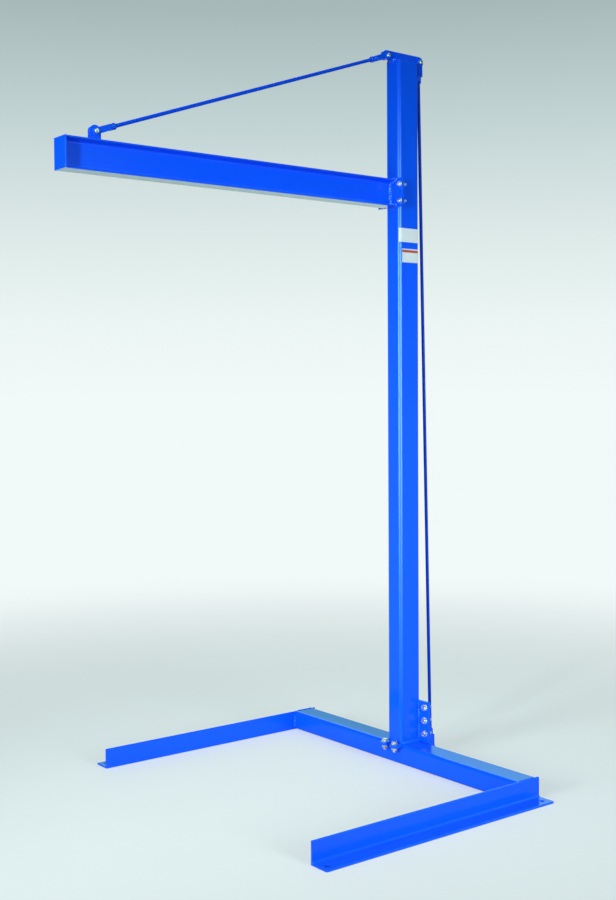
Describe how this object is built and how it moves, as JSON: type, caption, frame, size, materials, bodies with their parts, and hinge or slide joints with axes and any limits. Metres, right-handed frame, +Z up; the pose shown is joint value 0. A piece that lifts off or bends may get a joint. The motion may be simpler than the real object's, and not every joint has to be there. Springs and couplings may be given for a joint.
{
  "type": "cantilever jib crane",
  "caption": "Floor-standing cantilever jib crane: U-shaped steel base, bolted tube mast, I-beam boom held up by a front tie rod and a rear back-stay rod.",
  "frame": {"origin": "middle of the four floor anchor holes, at floor level", "axes": "+Z up, the boom points along -Y, +X is the side of the blank labels"},
  "size_m": [1.4224, 1.6011, 2.7191],
  "materials": {
    "blue_paint": "gloss blue enamel over hot-rolled steel",
    "blue_paint_rods": "gloss blue enamel over threaded round bar and forged yokes",
    "zinc_plate": "bright zinc plated hexagon fasteners",
    "white_label": "blank white self-adhesive label",
    "banded_label": "blank white self-adhesive label with a plain orange band along its top"
  },
  "bodies": {
    "crane_frame": {"left_leg_angle": "blue_paint", "right_leg_angle": "blue_paint", "crossbeam_tube": "blue_paint", "crossbeam_front_tabs": "blue_paint", "rear_upright_plate": "blue_paint", "rear_anchor_lug": "blue_paint", "mast_tube": "blue_paint", "mast_foot_plate": "blue_paint", "mast_left_ear": "blue_paint", "mast_right_ear": "blue_paint", "mast_boom_flange": "blue_paint", "mast_top_cap": "blue_paint", "mast_top_lug": "blue_paint", "boom_beam": "blue_paint", "boom_tip_plate": "blue_paint", "boom_mount_plate": "blue_paint", "boom_tip_lug": "blue_paint", "front_lower_yoke": "blue_paint_rods", "front_upper_yoke": "blue_paint_rods", "rear_lower_yoke": "blue_paint_rods", "rear_upper_yoke": "blue_paint_rods", "boom_bolts": "zinc_plate", "boom_washers": "zinc_plate", "boom_nuts": "zinc_plate", "foot_bolts": "zinc_plate", "foot_washers": "zinc_plate", "foot_nuts": "zinc_plate", "ear_bolts": "zinc_plate", "ear_washers": "zinc_plate", "ear_nuts": "zinc_plate", "yoke_bolts": "zinc_plate", "yoke_nuts": "zinc_plate", "upper_blank_label": "white_label", "lower_blank_label": "banded_label"},
    "front_rod": {"front_tie_rod": "blue_paint_rods"},
    "rear_rod": {"rear_tie_rod": "blue_paint_rods"},
    "front_lower_nut": {"front_lower_jam_nut": "blue_paint_rods"},
    "front_upper_nut": {"front_upper_jam_nut": "blue_paint_rods"},
    "rear_lower_nut": {"rear_lower_jam_nut": "blue_paint_rods"},
    "rear_upper_nut": {"rear_upper_jam_nut": "blue_paint_rods"}
  },
  "joints": [
    {"name": "front_rod_turn", "type": "hinge", "parent": "crane_frame", "child": "front_rod", "pos_m": [0, -0.8636, 2.26466], "axis": [0, 0.9434, 0.3316], "continuous": true},
    {"name": "rear_rod_turn", "type": "hinge", "parent": "crane_frame", "child": "rear_rod", "pos_m": [0, 0.595, 0.02413], "axis": [0, -0.0218, 0.9998], "continuous": true},
    {"name": "front_lower_nut_turn", "type": "hinge", "parent": "front_rod", "child": "front_lower_nut", "pos_m": [0, -0.8636, 2.26466], "axis": [0, 0.9434, 0.3316], "continuous": true},
    {"name": "front_upper_nut_turn", "type": "hinge", "parent": "front_rod", "child": "front_upper_nut", "pos_m": [0, 0.37147, 2.69875], "axis": [0, 0.9434, 0.3316], "continuous": true},
    {"name": "rear_lower_nut_turn", "type": "hinge", "parent": "rear_rod", "child": "rear_lower_nut", "pos_m": [0, 0.595, 0.02413], "axis": [0, -0.0218, 0.9998], "continuous": true},
    {"name": "rear_upper_nut_turn", "type": "hinge", "parent": "rear_rod", "child": "rear_upper_nut", "pos_m": [0, 0.53658, 2.69875], "axis": [0, -0.0218, 0.9998], "continuous": true}
  ]
}
